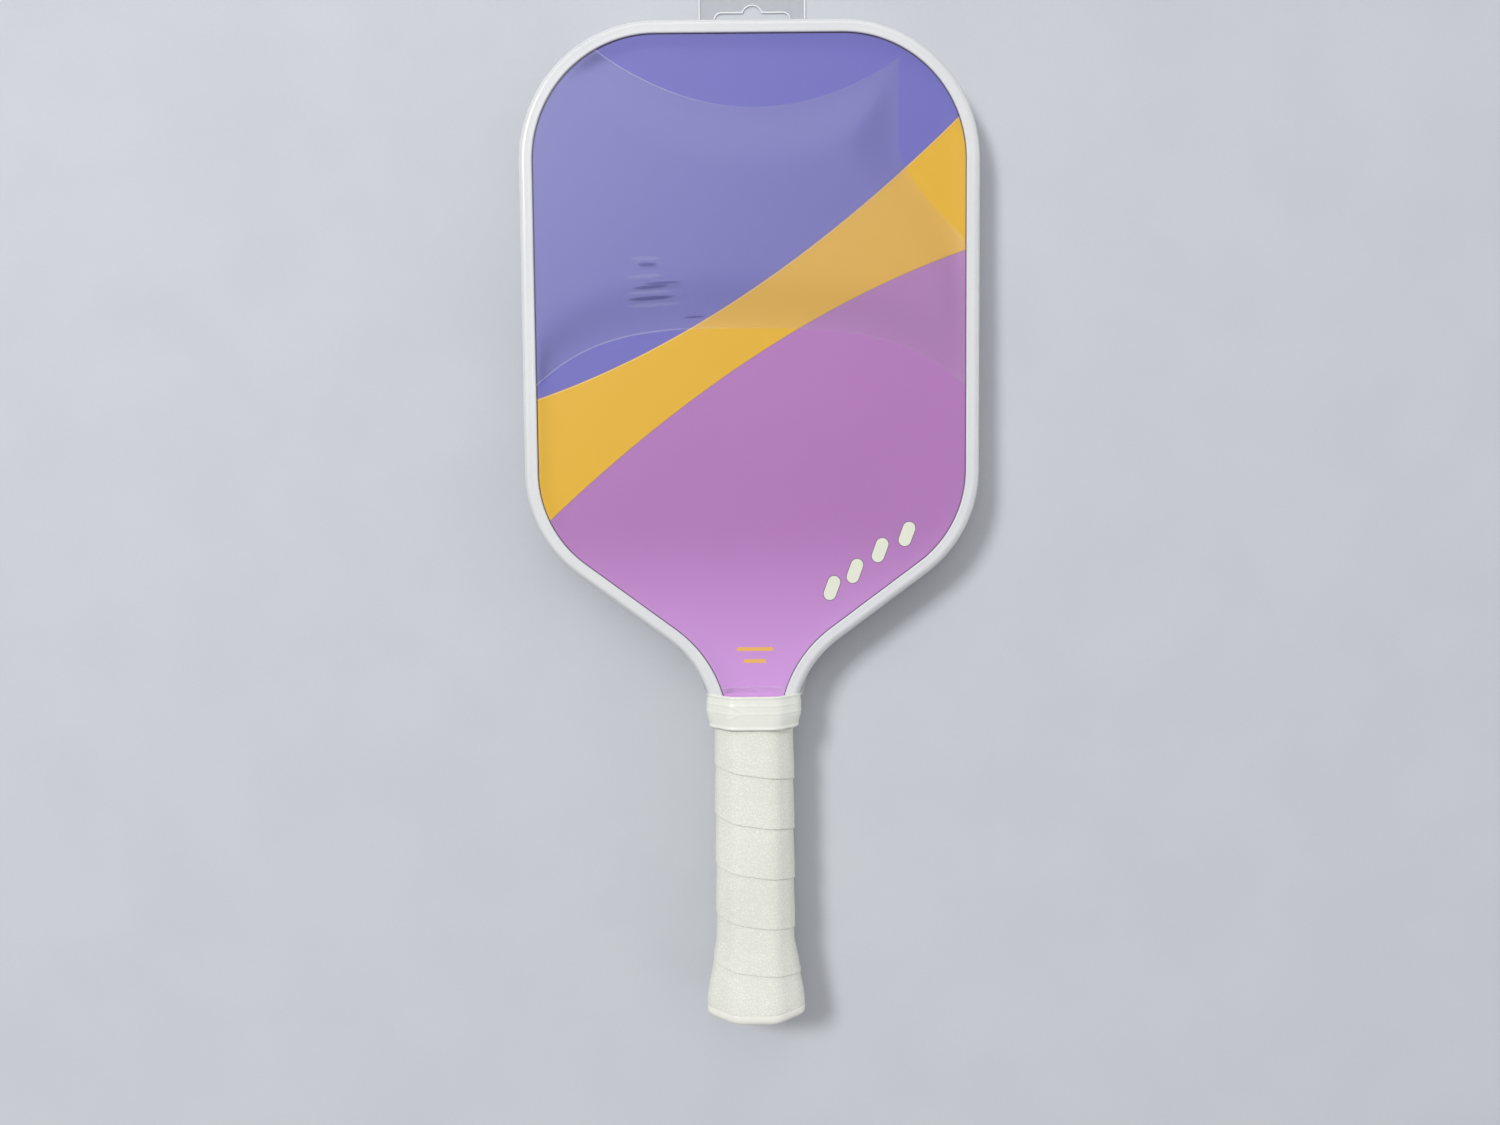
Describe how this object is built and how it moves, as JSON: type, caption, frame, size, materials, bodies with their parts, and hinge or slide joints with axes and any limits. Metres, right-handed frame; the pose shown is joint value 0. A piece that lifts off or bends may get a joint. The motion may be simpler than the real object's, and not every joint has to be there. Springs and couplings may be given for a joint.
{
  "type": "pickleball paddle",
  "caption": "Wide flat-topped racket panel with a white edge guard, taped octagonal flared handle, rubber collar, clear head film and hang tab.",
  "frame": {"origin": "under the middle of the whole length, hang tab included, in the plane that the butt's lower facet rests on", "axes": "+X across the face, +Y along the paddle towards the head, +Z out of the front face"},
  "size_m": [0.1908, 0.4376, 0.033],
  "materials": {
    "core": "natural honeycomb polypropylene",
    "bond": "thin bonding film",
    "sheet": "woven glass and resin sheet",
    "print": "satin printed film in flat violet, amber and blue-violet zones",
    "tape": "thin mounting tape",
    "guard": "satin white edge trim",
    "handle": "moulded handle core",
    "cap": "moulded cap, satin",
    "pin": "plated pin",
    "grip": "finely pebbled ivory cushion grip tape",
    "band": "finishing tape",
    "collar": "glossy off-white rubber",
    "film": "clear shrink film",
    "tab": "clear stiff tab"
  },
  "bodies": {
    "root": {"honeycomb_core": "core", "core_bond_front": "bond", "core_bond_back": "bond", "face_sheet_front": "sheet", "face_sheet_back": "sheet", "printed_film_front": "print", "printed_film_back": "print", "edge_guard_tape": "tape", "edge_guard": "guard", "handle_half_front": "handle", "handle_half_back": "handle", "butt_cap": "cap", "butt_cap_pins": "pin", "grip_backing_tape": "tape", "grip_tape": "grip", "grip_finishing_tape": "band", "grip_collar": "collar", "head_film": "film", "hang_tab_adhesive": "tape", "hang_tab": "tab"}
  },
  "joints": []
}
